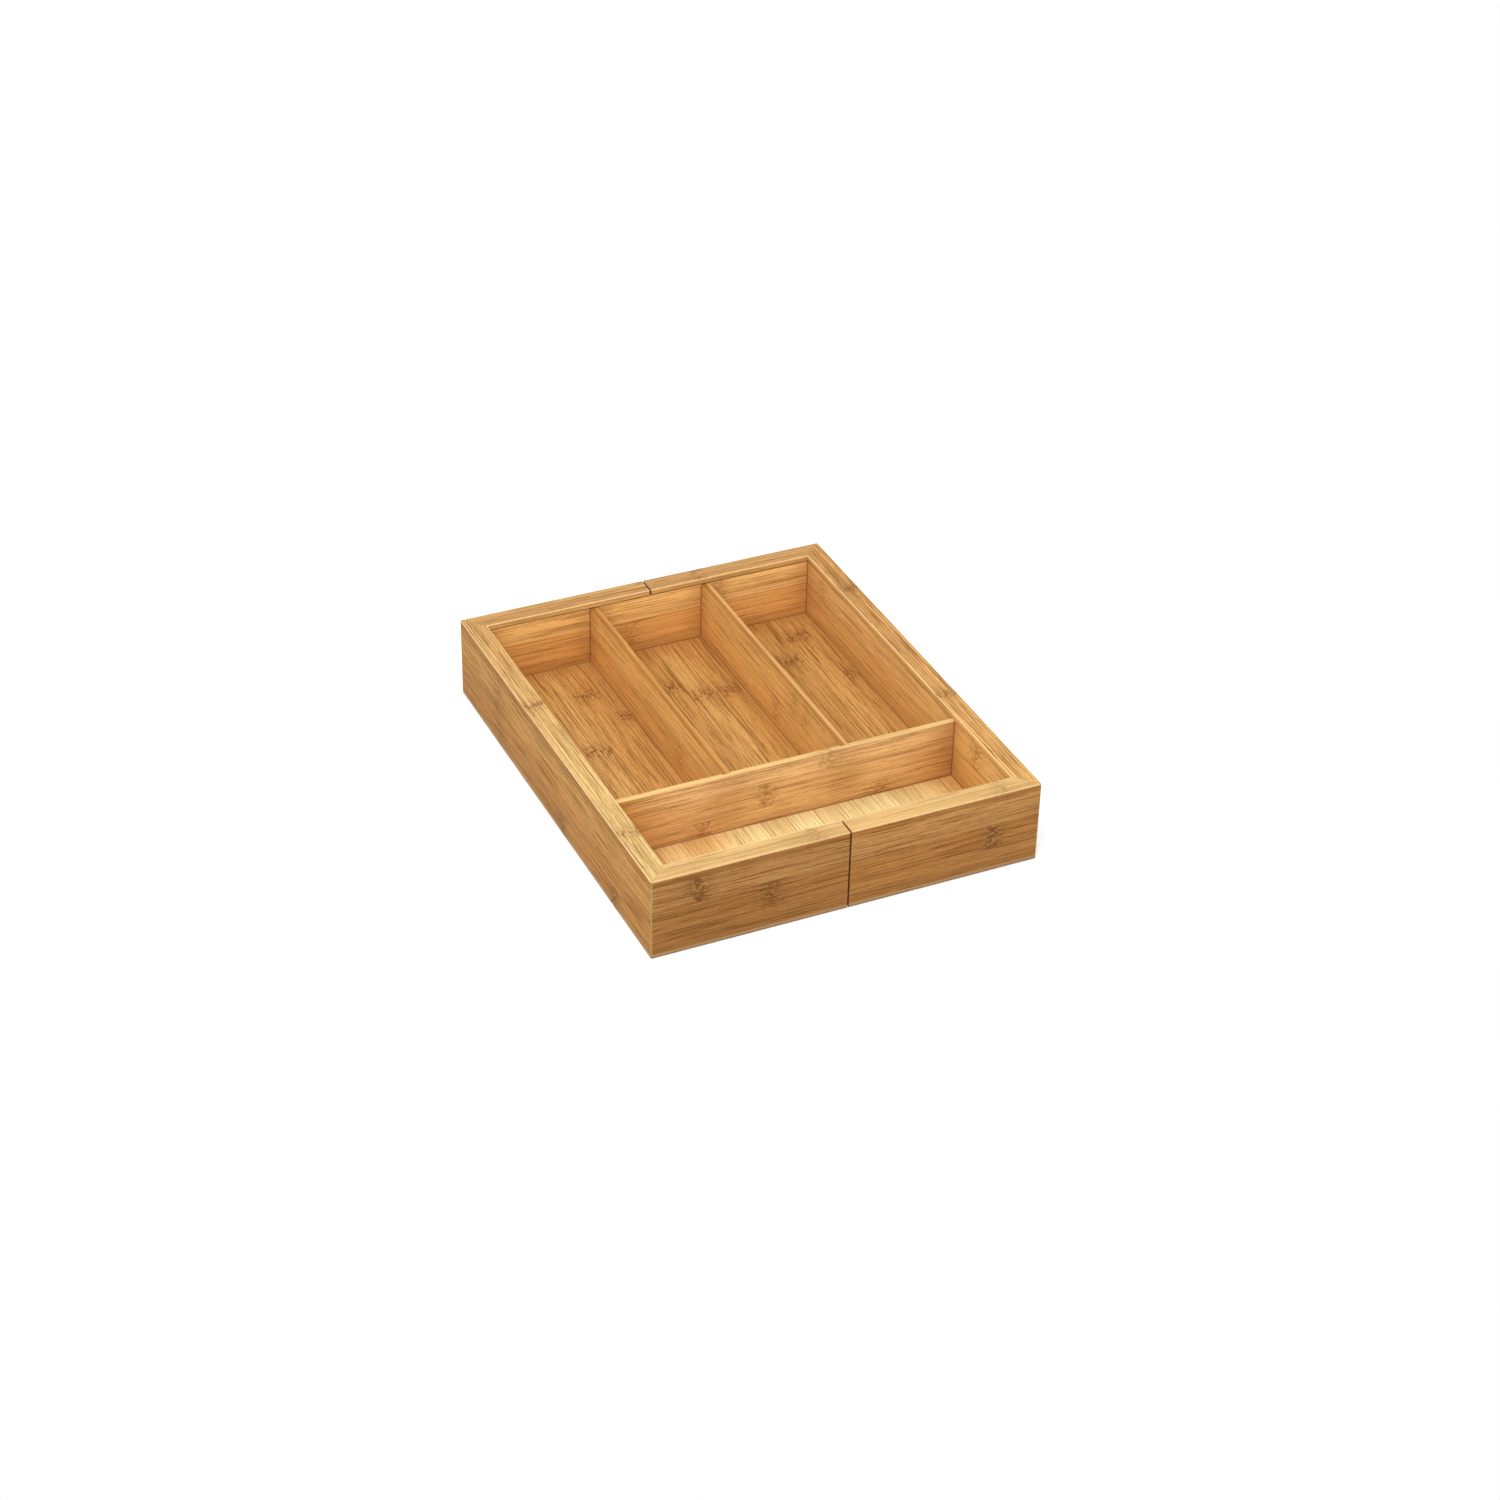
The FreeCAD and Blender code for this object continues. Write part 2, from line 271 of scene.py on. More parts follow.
class BambooSettings(bpy.types.PropertyGroup):
    """Colours and sizes of the strip bamboo that every board is cut from"""

    pale: FloatVectorProperty(
        name="Pale strip", description="Colour of the palest strips",
        subtype="COLOR", size=3, min=0.0, max=1.0, default=(0.97, 0.52, 0.180))
    honey: FloatVectorProperty(
        name="Honey strip", description="Colour of the darkest strips",
        subtype="COLOR", size=3, min=0.0, max=1.0, default=(0.79, 0.372, 0.110))
    fibre: FloatVectorProperty(
        name="Fibre", description="Colour of the dark fibres that run with the grain",
        subtype="COLOR", size=3, min=0.0, max=1.0, default=(0.38, 0.15, 0.038))
    knuckle: FloatVectorProperty(
        name="Knuckle", description="Colour of the dashes where a stalk had its knuckles",
        subtype="COLOR", size=3, min=0.0, max=1.0, default=(0.27, 0.11, 0.03))
    glue_line: FloatVectorProperty(
        name="Glue line", description="Colour of the thin line between two strips",
        subtype="COLOR", size=3, min=0.0, max=1.0, default=(0.32, 0.14, 0.04))
    # Painted shadow along the lower edge of a lip, where it hangs over the gap above the core.
    gap: FloatVectorProperty(
        name="Gap Shadow", description="Colour of the painted shadow along a lip's lower edge, over the gap above the core",
        subtype="COLOR", size=3, min=0.0, max=1.0, default=(0.12, 0.05, 0.02))
    edge: FloatVectorProperty(
        name="Sanded edge and highlight", description="Colour of the pale line along a sanded edge, with a painted highlight",
        subtype="COLOR", size=3, min=0.0, max=1.0, default=(0.94, 0.68, 0.34))
    end_grain: FloatVectorProperty(
        name="End grain", description="Colour of the cut ends of the fibres",
        subtype="COLOR", size=3, min=0.0, max=1.0, default=(0.34, 0.16, 0.055))
    strip_width: FloatProperty(
        name="Strip width", description="Width of one strip of bamboo",
        unit="LENGTH", default=20.5 * MILLIMETRE)
    glue_width: FloatProperty(
        name="Glue line width", description="Width of the line between two strips",
        unit="LENGTH", default=0.45 * MILLIMETRE)
    wander: FloatProperty(
        name="Wander", description="How far a strip's edge strays from a straight line",
        unit="LENGTH", default=0.7 * MILLIMETRE)
    fibre_spacing: FloatProperty(
        name="Fibre spacing", description="Distance from one dark fibre to the next",
        unit="LENGTH", default=1.5 * MILLIMETRE)
    fibre_length: FloatProperty(
        name="Fibre length", description="Length of a dark fibre",
        unit="LENGTH", default=150.0 * MILLIMETRE)
    dash_length: FloatProperty(
        name="Dash length", description="Length of the short dark dashes between the fibres",
        unit="LENGTH", default=7.0 * MILLIMETRE)
    streak_width: FloatProperty(
        name="Streak width", description="Width of the soft light and dark streaks in a strip",
        unit="LENGTH", default=6.0 * MILLIMETRE)
    knuckle_reach: FloatProperty(
        name="Knuckle reach", description="Half the length of a knuckle along the grain",
        unit="LENGTH", default=8.5 * MILLIMETRE)
    dash_width: FloatProperty(
        name="Knuckle dash width", description="Distance from one dash of a knuckle to the next",
        unit="LENGTH", default=1.4 * MILLIMETRE)
    edge_width: FloatProperty(
        name="Eased edge width", description="Width of the paler line on a sanded edge, with its painted highlight",
        unit="LENGTH", default=1.1 * MILLIMETRE)
    mitre_width: FloatProperty(
        name="Mitre line width", description="Width of the dark hairline at a mitred corner",
        unit="LENGTH", default=0.45 * MILLIMETRE)
    joint_and_shadow_line_width: FloatProperty(
        name="Corner line width", description="Width of the dark line in a corner: a joint with painted shadow where two boards meet, and painted shadow over the floor",
        unit="LENGTH", default=1.3 * MILLIMETRE)
    corner_shade_reach: FloatProperty(
        name="Corner shade reach", description="How far the painted shade spreads from a corner",
        unit="LENGTH", default=22.0 * MILLIMETRE)
    relief: FloatProperty(
        name="Grain relief", description="Depth of the grain in the surface",
        unit="LENGTH", default=0.12 * MILLIMETRE)


class StageSettings(bpy.types.PropertyGroup):
    """Floor, light and camera round the tray"""

    floor_colour: FloatVectorProperty(
        name="Floor", description="Colour of the floor in the light that it gives the tray",
        subtype="COLOR", size=3, min=0.0, max=1.0, default=(0.1, 0.1, 0.1))
    sky_strength: FloatProperty(
        name="Sky", description="Strength of the even light from all round", default=0.77)
    key_level: FloatProperty(
        name="Key", description="Share of white that the overhead lamp gives a level surface",
        default=0.57)
    key_height: FloatProperty(
        name="Key height", description="Distance from the tray to the overhead lamp",
        unit="LENGTH", default=1.6)
    key_size: FloatProperty(
        name="Key size", description="Side of the overhead lamp", unit="LENGTH", default=1.25)
    key_azimuth: FloatProperty(
        name="Key azimuth", description="Side that the lamp leans to, from the front",
        subtype="ANGLE", default=math.radians(-50.0))
    key_elevation: FloatProperty(
        name="Key elevation", description="Height of the lamp above the horizon",
        subtype="ANGLE", default=math.radians(58.0))
    azimuth: FloatProperty(
        name="Camera azimuth", description="Where the camera stands, from the front",
        subtype="ANGLE", default=math.radians(-25.57))
    elevation: FloatProperty(
        name="Camera elevation", description="Height of the camera above the horizon",
        subtype="ANGLE", default=math.radians(33.91))
    roll: FloatProperty(
        name="Camera roll", description="Turn of the camera about its line of sight",
        subtype="ANGLE", default=math.radians(1.43))
    distance: FloatProperty(
        name="Camera distance", description="From the camera to the point that it looks at",
        unit="LENGTH", default=2.427)
    focal_pixels: FloatProperty(
        name="Focal length in pixels", description="Focal length as pixels of the square picture",
        default=3240.0)
    target_x: FloatProperty(
        name="Target X", description="Point on the floor that the camera looks at",
        unit="LENGTH", default=19.9 * MILLIMETRE)
    target_y: FloatProperty(
        name="Target Y", description="Point on the floor that the camera looks at",
        unit="LENGTH", default=24.0 * MILLIMETRE)


class Graph:
    """A node tree that is filled by short calls, each giving the new node's output."""

    def __init__(self, tree):
        self.tree = tree

    def feed(self, socket, value):
        """Links an output to the socket, or sets the socket to a constant."""
        if isinstance(value, bpy.types.NodeSocket):
            self.tree.links.new(value, socket)
        else:
            socket.default_value = value

    def node(self, kind, inputs=None, **settings):
        """A new shader node of that kind, with its settings and inputs."""
        made = self.tree.nodes.new("ShaderNode" + kind)
        for name, value in settings.items():
            setattr(made, name, value)
        for socket, value in (inputs or {}).items():
            self.feed(made.inputs[socket], value)
        return made

    def math(self, operation, *values):
        """One sum with single values."""
        made = self.node("Math", operation=operation)
        for socket, value in zip(made.inputs, values):
            self.feed(socket, value)
        return made.outputs[0]

    def vector(self, operation, *values):
        """One sum with vectors."""
        made = self.node("VectorMath", operation=operation)
        for socket, value in zip(made.inputs, values):
            self.feed(socket, value)
        return made.outputs[0]

    def combine(self, *values):
        """A vector of three values."""
        return self.node("CombineXYZ", dict(enumerate(values))).outputs[0]

    def ramp(self, value, start, end, low=0.0, high=1.0):
        """value from start to end becomes low to high, eased at both ends."""
        inputs = dict(enumerate((value, start, end, low, high)))
        return self.node("MapRange", inputs, interpolation_type="SMOOTHSTEP").outputs[0]

    def noise(self, place, stretch, detail=1.0, roughness=0.5):
        """Cloudy values about a half, each cloud as large as stretch."""
        scaled = self.vector("DIVIDE", place, stretch)
        inputs = {"Vector": scaled, "Scale": 1.0, "Detail": detail, "Roughness": roughness}
        return self.node("TexNoise", inputs).outputs[0]

    def mix(self, share, first, second, blend="MIX"):
        """Colour that goes from first to second as share goes from 0 to 1."""
        inputs = {0: share, 6: first, 7: second}
        return self.node("Mix", inputs, data_type="RGBA", blend_type=blend).outputs[2]

    def greatest(self, values):
        """The greatest of several values."""
        found = values[0]
        for value in values[1:]:
            found = self.math("MAXIMUM", found, value)
        return found


def opaque(colour):
    """A colour with full alpha, as a colour socket takes it."""
    return (*colour, 1.0)


def new_group(inputs, outputs):
    """An empty group with these sockets: its graph, its incoming and its outgoing sockets."""
    tree = bpy.data.node_groups.new("group", "ShaderNodeTree")
    for direction, sockets in (("INPUT", inputs), ("OUTPUT", outputs)):
        for label, kind in sockets.items():
            tree.interface.new_socket(label, in_out=direction, socket_type="NodeSocket" + kind)
    incoming = tree.nodes.new("NodeGroupInput").outputs
    outgoing = tree.nodes.new("NodeGroupOutput").inputs
    return Graph(tree), incoming, outgoing


def edge_highlight_group(look):
    """How near a point of a board is to the sanded edges along the board's top, from 0 to 1, for their pale
    line that is partly a painted highlight.
    """
    graph, given, made = new_group({"Place": "Vector", "Size": "Vector"}, {"Edge": "Float"})
    place = graph.node("SeparateXYZ", {0: given["Place"]}).outputs
    size = graph.node("SeparateXYZ", {0: given["Size"]}).outputs
    to_top = graph.math("SUBTRACT", size[1], place[1])
    to_side = graph.math("MINIMUM", place[2], graph.math("SUBTRACT", size[2], place[2]))
    to_edge = graph.math("MAXIMUM", to_top, to_side)
    ragged = graph.noise(given["Place"], (RAGGED_SIZE,) * 3, detail=2.0)
    to_edge = graph.math("MULTIPLY_ADD", ragged, look.edge_width, to_edge)
    fade_end = look.edge_width * 1.6
    graph.feed(made["Edge"], graph.ramp(to_edge, look.edge_width, fade_end, 1.0, 0.0))
    return graph.tree


def joint_group(look):
    """The hairline where two rails meet in a mitre, the pale sanded edge with a painted highlight up a
    corner, and the pale sanded edge with a painted reflection of the floor along a foot.
    """
    graph, given, made = new_group({"Place": "Vector"}, {"Mitre": "Float", "Edge": "Float"})
    place = graph.node("SeparateXYZ", {0: given["Place"]}).outputs
    from_side = graph.math("SUBTRACT", CAD_HIGH.x, graph.math("ABSOLUTE", place[0]))
    from_end = graph.math("SUBTRACT", CAD_HIGH.y, graph.math("ABSOLUTE", place[1]))
    off_mitre = graph.math("ABSOLUTE", graph.math("SUBTRACT", from_side, from_end))
    to_corner = graph.math("MAXIMUM", from_side, from_end)
    graph.feed(made["Mitre"], graph.ramp(off_mitre, 0.0, look.mitre_width, 1.0, 0.0))
    fade_start = look.edge_width * 0.5
    corner_highlight = graph.ramp(to_corner, fade_start, look.edge_width, 1.0, 0.0)
    # Pale band along the foot: a sanded edge with a painted reflection of the floor.
    to_foot = graph.math("SUBTRACT", place[2], CAD_LOW.z)
    full_height = FOOT_REFLECTION_HEIGHT * FOOT_REFLECTION_FULL_SHARE
    foot_reflection = graph.ramp(to_foot, full_height, FOOT_REFLECTION_HEIGHT, 1.0, 0.0)
    graph.feed(made["Edge"], graph.math("MAXIMUM", corner_highlight, foot_reflection))
    return graph.tree


def strip_lines(graph, place, width, line_width):
    """Number of the strip that a place falls in, and the glue line at the strip's sides."""
    full_share = 0.2
    position = graph.math("DIVIDE", place, width)
    number = graph.math("FLOOR", position)
    share = graph.math("FRACT", position)
    nearer_share = graph.math("MINIMUM", share, graph.math("SUBTRACT", 1.0, share))
    to_side = graph.math("MULTIPLY", nearer_share, width)
    full_width = graph.math("MULTIPLY", line_width, full_share)
    return number, graph.ramp(to_side, full_width, line_width, 1.0, 0.0)


def swing(graph, given, turns):
    """A value about a half that differs from strip to strip and from layer to layer, by Tone in all."""
    strip_turn, layer_turn = turns
    half = 0.5
    turn = graph.math("MULTIPLY_ADD", given["Strip"], strip_turn, given["Seed"])
    turn = graph.math("MULTIPLY_ADD", given["Layer"], layer_turn, turn)
    reach = graph.math("MULTIPLY", given["Tone"], half)
    return graph.math("MULTIPLY_ADD", graph.math("SINE", turn), reach, half)


def strip_group(look):
    """Where a point of a board lies: its strip and layer, the glue lines beside them, and a seeded place."""
    graph, given, made = new_group(
        {"Place": "Vector", "Joint": "Float", "Layer Joint": "Float", "Layer Thickness": "Float",
         "Layer Line": "Float", "Seed": "Float"},
        {"Spot": "Vector", "Strip": "Float", "Layer": "Float", "Glue": "Float"},
    )
    seeds = graph.combine(given["Seed"], given["Seed"], given["Seed"])
    spot = graph.vector("MULTIPLY_ADD", seeds, SEED_STEP, given["Place"])
    noise_middle, noise_reach = 0.5, 0.25
    wander = graph.noise(spot, (WANDER_LENGTH, WANDER_WIDTH, WANDER_WIDTH))
    wander = graph.math("SUBTRACT", wander, noise_middle)
    wander = graph.math("MULTIPLY", wander, look.wander / noise_reach)
    place = graph.node("SeparateXYZ", {0: given["Place"]}).outputs
    across = graph.math("SUBTRACT", graph.math("ADD", place[1], wander), given["Joint"])
    through = graph.math("SUBTRACT", graph.math("ADD", place[2], wander), given["Layer Joint"])
    strip, glue = strip_lines(graph, across, look.strip_width, look.glue_width)
    layer, layer_glue = strip_lines(graph, through, given["Layer Thickness"], given["Layer Line"])
    graph.feed(made["Spot"], spot)
    graph.feed(made["Strip"], strip)
    graph.feed(made["Layer"], layer)
    graph.feed(made["Glue"], graph.math("MAXIMUM", glue, layer_glue))
    return graph.tree


def bell(graph, distance, reach):
    """1 in the middle, falling off to nothing at about twice reach."""
    share = graph.math("DIVIDE", distance, reach)
    return graph.math("EXPONENT", graph.math("MULTIPLY", graph.math("MULTIPLY", share, share), -1.0))


def knuckle_group(look):
    """A knuckle of the stalk: short dashes strewn along a broken ridge, with a soft shade round them."""
    graph, given, made = new_group(
        {"Spot": "Vector", "Away": "Float", "Depth": "Float"}, {"Dashes": "Float", "Shade": "Float"})
    noise_middle = 0.5
    width, length = look.dash_width, look.dash_width * 2.8
    speck_start, speck_end = 0.48, 0.55
    part_width = look.dash_width * 2.0
    part_start, part_end = 0.45, 0.55
    ridge_reach = look.knuckle_reach * 0.22
    shade_reach = look.knuckle_reach * 1.5
    bend = graph.noise(given["Spot"], (RIDGE_LENGTH, RIDGE_BEND_WIDTH, RIDGE_BEND_WIDTH))
    bend = graph.math("SUBTRACT", bend, noise_middle)
    away = graph.math("MULTIPLY_ADD", bend, RIDGE_BEND_REACH, given["Away"])
    specks = graph.ramp(graph.noise(given["Spot"], (length, width, width)), speck_start, speck_end)
    strewn = graph.math("MULTIPLY", specks, bell(graph, away, look.knuckle_reach))
    parts = graph.noise(given["Spot"], (RIDGE_LENGTH, part_width, part_width))
    parts = graph.ramp(parts, part_start, part_end)
    ridge = graph.math("MULTIPLY", parts, bell(graph, away, ridge_reach))
    dashes = graph.math("MAXIMUM", strewn, graph.math("MULTIPLY", ridge, RIDGE_DEPTH))
    graph.feed(made["Dashes"], graph.math("MULTIPLY", dashes, given["Depth"]))
    graph.feed(made["Shade"], graph.math("MULTIPLY", bell(graph, away, shade_reach), given["Depth"]))
    return graph.tree


def strip_colour(graph, given, look):
    """Colour of the strips: pale to honey, some of them warmer, with soft streaks along them."""
    tone = swing(graph, given, TONE_TURNS)
    warmth = swing(graph, given, WARMTH_TURNS)
    colour = graph.mix(tone, opaque(look.pale), opaque(look.honey))
    colour = graph.mix(warmth, colour, graph.mix(1.0, colour, opaque(WARMER_TINT), "MULTIPLY"))
    streak_size = (STREAK_LENGTH, look.streak_width, look.streak_width)
    pale_end, dark_end = 0.3, 0.7
    streak = graph.noise(given["Spot"], streak_size, detail=2.0, roughness=0.6)
    depth = graph.math("MULTIPLY", given["Tone"], STREAK_DEPTH)
    streak = graph.math("MULTIPLY_ADD", graph.ramp(streak, pale_end, dark_end, -1.0, 1.0), depth, 1.0)
    return graph.mix(1.0, colour, graph.combine(streak, streak, streak), "MULTIPLY")


def dark_lines(graph, given, look):
    """How dark a place is with fibres, from 0 to 1: long ones, fine ones and short dashes between them."""
    spacing = look.fibre_spacing
    fine_length, fine_spacing = look.fibre_length * 0.35, spacing * 0.52
    dash_spacing = spacing * 0.45
    fade_end = 0.62

    def lines(length, width, fade_start, detail=1.0):
        """Dark lines with the grain, that long and that far apart."""
        clouds = graph.noise(given["Spot"], (length, width, width), detail, roughness=0.6)
        return graph.ramp(clouds, fade_start, fade_end)

    fibre = lines(look.fibre_length, spacing, fade_start=0.52, detail=2.0)
    fine = lines(fine_length, fine_spacing, fade_start=0.53)
    dash = lines(look.dash_length, dash_spacing, fade_start=0.50)
    dark = graph.math("MULTIPLY_ADD", fine, FINE_FIBRE_DEPTH, graph.math("MULTIPLY", fibre, FIBRE_DEPTH))
    dark = graph.math("MULTIPLY_ADD", dash, DASH_DEPTH, dark)
    return graph.math("MINIMUM", graph.math("MULTIPLY", dark, given["Fibre"]), 1.0)


def broken_glue_line(graph, given, look):
    """How dark the glue line between two strips is at a place: it comes and goes along the grain."""
    break_size = (GLUE_BREAK_LENGTH, look.fibre_spacing, look.fibre_spacing)
    gone, shown = 0.35, 0.6
    least_depth, most_depth = 0.1, 0.6
    clouds = graph.noise(given["Spot"], break_size, detail=2.0)
    depth = graph.ramp(clouds, gone, shown, least_depth, most_depth)
    return graph.math("MULTIPLY", given["Glue"], depth)


def grain_group(look):
    """Strip bamboo: strips of differing tone, glue lines, streaks, dark fibres, dashes and knuckles, with
    painted shade, shadow and highlight laid over them.
    """
    graph, given, made = new_group(
        {"Spot": "Vector", "Strip": "Float", "Layer": "Float", "Glue": "Float", "Seed": "Float",
         "Fibre": "Float", "Tone": "Float", "Tint": "Color", "Dashes": "Float", "Shade": "Float",
         "Edge": "Float", "Corner": "Float", "Gap Shadow": "Float", "Mitre": "Float", "End Grain": "Float"},
        {"Colour": "Color", "Roughness": "Float", "Height": "Float"},
    )
    colour = strip_colour(graph, given, look)
    dark = dark_lines(graph, given, look)
    colour = graph.mix(dark, colour, opaque(look.fibre))
    line = broken_glue_line(graph, given, look)
    colour = graph.mix(line, colour, opaque(look.glue_line))
    colour = graph.mix(1.0, colour, given["Tint"], "MULTIPLY")
    # Pale line along sanded edges: partly the paler sanded wood and partly a painted highlight, and along a
    # rail's foot a painted reflection of the floor.
    colour = graph.mix(graph.math("MULTIPLY", given["Edge"], EDGE_HIGHLIGHT_DEPTH), colour, opaque(look.edge))

    # Painted shade that darkens towards the corners where boards meet, and up from the floor.
    painted_corner_shade = graph.ramp(given["Corner"], 0.0, look.corner_shade_reach, PAINTED_CORNER_SHADE_DEPTH, 0.0)
    colour = graph.mix(painted_corner_shade, colour, opaque(look.fibre))
    # Dark line in a corner: a joint between two boards with painted shadow in it, and painted shadow where a
    # rail stands on the floor.
    joint_and_shadow_line = graph.ramp(given["Corner"], 0.0, look.joint_and_shadow_line_width, JOINT_AND_SHADOW_LINE_DEPTH, 0.0)
    colour = graph.mix(joint_and_shadow_line, colour, opaque(look.glue_line))
    # Painted shadow along a lip's lower edge.
    colour = graph.mix(graph.math("MULTIPLY", given["Gap Shadow"], GAP_SHADOW_DEPTH), colour, opaque(look.gap))

    knuckle_shade = graph.math("MULTIPLY", given["Shade"], KNUCKLE_SHADE_DEPTH)
    colour = graph.mix(knuckle_shade, colour, opaque(look.fibre))
    colour = graph.mix(given["Dashes"], colour, opaque(look.knuckle))
    colour = graph.mix(graph.math("MULTIPLY", given["Mitre"], MITRE_DEPTH), colour, opaque(look.glue_line))
    end_grain = graph.math("MULTIPLY", given["End Grain"], END_GRAIN_DEPTH)
    colour = graph.mix(end_grain, colour, opaque(look.end_grain))

    smooth, rough = 0.5, 0.65
    groove = graph.greatest((dark, line, given["Dashes"], given["Mitre"]))
    graph.feed(made["Colour"], colour)
    graph.feed(made["Roughness"], graph.ramp(groove, 0.0, 1.0, smooth, rough))
    graph.feed(made["Height"], graph.math("SUBTRACT", 1.0, groove))
    return graph.tree


def grouped(graph, maker, look, inputs):
    """A node of the group that maker makes, made and named the first time that a board asks for it."""
    name = maker.__name__
    if name not in bpy.data.node_groups:
        maker(look).name = name
    node = graph.node("Group", node_tree=bpy.data.node_groups[name])
    for label, value in inputs.items():
        graph.feed(node.inputs[label], value)
    return node.outputs


def nearest_knuckle(graph, board, size, joint, along, strip, on_edge, look):
    """Way along the grain from a strip's nearest knuckle, scaled to a common one, and how dark it is."""
    same_strip = 0.5
    nearest, depth = NO_KNUCKLE, 0.0
    for knuckle in board.knuckles:
        number = math.floor((knuckle.across_share * size[1] - joint) / look.strip_width)
        away = graph.math("SUBTRACT", along, knuckle.along_share * size[0])
        away = graph.math("DIVIDE", away, knuckle.size_share)
        here = graph.math("COMPARE", strip, number, same_strip)
        if knuckle.size_share < 1.0:
            here = graph.math("MULTIPLY", here, on_edge)
        away = graph.math("MULTIPLY_ADD", graph.math("SUBTRACT", 1.0, here), NO_KNUCKLE, away)
        closer = graph.math("LESS_THAN", graph.math("ABSOLUTE", away), graph.math("ABSOLUTE", nearest))
        nearest = graph.node("Mix", {0: closer, 2: nearest, 3: away}).outputs[0]
        depth = graph.node("Mix", {0: closer, 2: depth, 3: knuckle.depth}).outputs[0]
    return nearest, depth


def core_boxes():
    """The boards of the core, each as a low and a high corner."""
    return [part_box(board.node) for board in CORE_WALLS + DIVIDERS + CORE_FLOOR]


def gap_boxes():
    """The gaps over the core walls with the painted shadow on the lips above, each as a low and a high
    corner.
    """
    line_top = CAD_HIGH.z - LIP_THICKNESS + LIP_SHADOW_HEIGHT
    boxes = []
    for board in CORE_WALLS:
        low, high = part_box(board.node)
        boxes.append((Vector((low.x, low.y, high.z)), Vector((high.x, high.y, line_top))))
    return boxes


def floor_box():
    """The floor that the tray stands on and the painted shadow just above it, as a low and a high corner."""
    reach = 1.0
    line_top = CAD_LOW.z + FLOOR_SHADOW_HEIGHT
    return Vector((-reach, -reach, -reach)), Vector((reach, reach, line_top))


def nearest_board(graph, place, node, boxes):
    """Way from a place on a board to the nearest of these boxes that the board meets, steeper upwards."""
    touching = 1.0 * MILLIMETRE
    steepness = (1.0, 1.0, 1.7)
    own_low, own_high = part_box(node)
    nearest = NO_CORNER
    for low, high in boxes:
        apart = [max(a - d, c - b) for a, b, c, d in zip(own_low, own_high, low, high)]
        if low == own_low or max(apart) > touching:
            continue
        middle, half = (low + high) / 2.0, (high - low) / 2.0
        off = graph.vector("ABSOLUTE", graph.vector("SUBTRACT", place, middle))
        off = graph.vector("MAXIMUM", graph.vector("SUBTRACT", off, half), (0.0, 0.0, 0.0))
        off = graph.vector("MULTIPLY", off, steepness)
        away = graph.node("VectorMath", {0: off}, operation="LENGTH").outputs["Value"]
        nearest = graph.math("MINIMUM", nearest, away)
    return nearest


def facing(graph, normal, axis):
    """1 on the sides of a board that face along an axis, and else 0."""
    turned_off, turned_to = 0.55, 0.85
    return graph.ramp(graph.math("ABSOLUTE", normal[axis]), turned_off, turned_to)


def chosen_look(graph, masks_and_looks, first):
    """Tint, fibre strength and tone reach of the last look whose mask is 1, or of the first look."""
    tint, fibre, tone = opaque(first.tint), first.fibre, first.tone
    for mask, look in masks_and_looks:
        tint = graph.mix(mask, tint, opaque(look.tint))
        fibre = graph.node("Mix", {0: mask, 2: fibre, 3: look.fibre}).outputs[0]
        tone = graph.node("Mix", {0: mask, 2: tone, 3: look.tone}).outputs[0]
    return tint, fibre, tone


def shown_from(graph, place, size, part):
    """1 where a stretch or a flank shows in full, falling to 0 where it is gone."""
    return graph.ramp(place, part.full_share * size, part.gone_share * size, 1.0, 0.0)


def looks_of(graph, board, size, along, across, through, on_edge):
    """The looks of a board's sides, each with a mask of where it shows."""
    looks = [(on_edge, board.edge)]
    if board.ply:
        start_share = OUTER_PLY_SHARE if board.ply.inwards > 0.0 else 1.0 - OUTER_PLY_SHARE
        past = graph.math("SUBTRACT", through, start_share * size[2])
        past = graph.math("MULTIPLY", past, board.ply.inwards)
        fade_start, fade_end = -0.3 * MILLIMETRE, -0.2 * MILLIMETRE
        on_ply = graph.ramp(past, fade_start, fade_end)
        looks = [(on_ply, board.ply.inside), (on_edge, board.edge),
                 (graph.math("MULTIPLY", on_ply, on_edge), board.ply.top)]
    for stretch in board.stretches:
        if stretch.only_edge:
            kept_to = on_edge
        else:
            kept_to = graph.math("SUBTRACT", on_ply if board.ply else 1.0, on_edge)
        in_stretch = shown_from(graph, along, size[0], stretch)
        in_stretch = graph.math("MULTIPLY", in_stretch, kept_to)
        looks.append((in_stretch, stretch.look))
        for flank in stretch.flanks:
            in_flank = shown_from(graph, across, size[1], flank)
            looks.append((graph.math("MULTIPLY", in_flank, in_stretch), flank.look))
    return looks


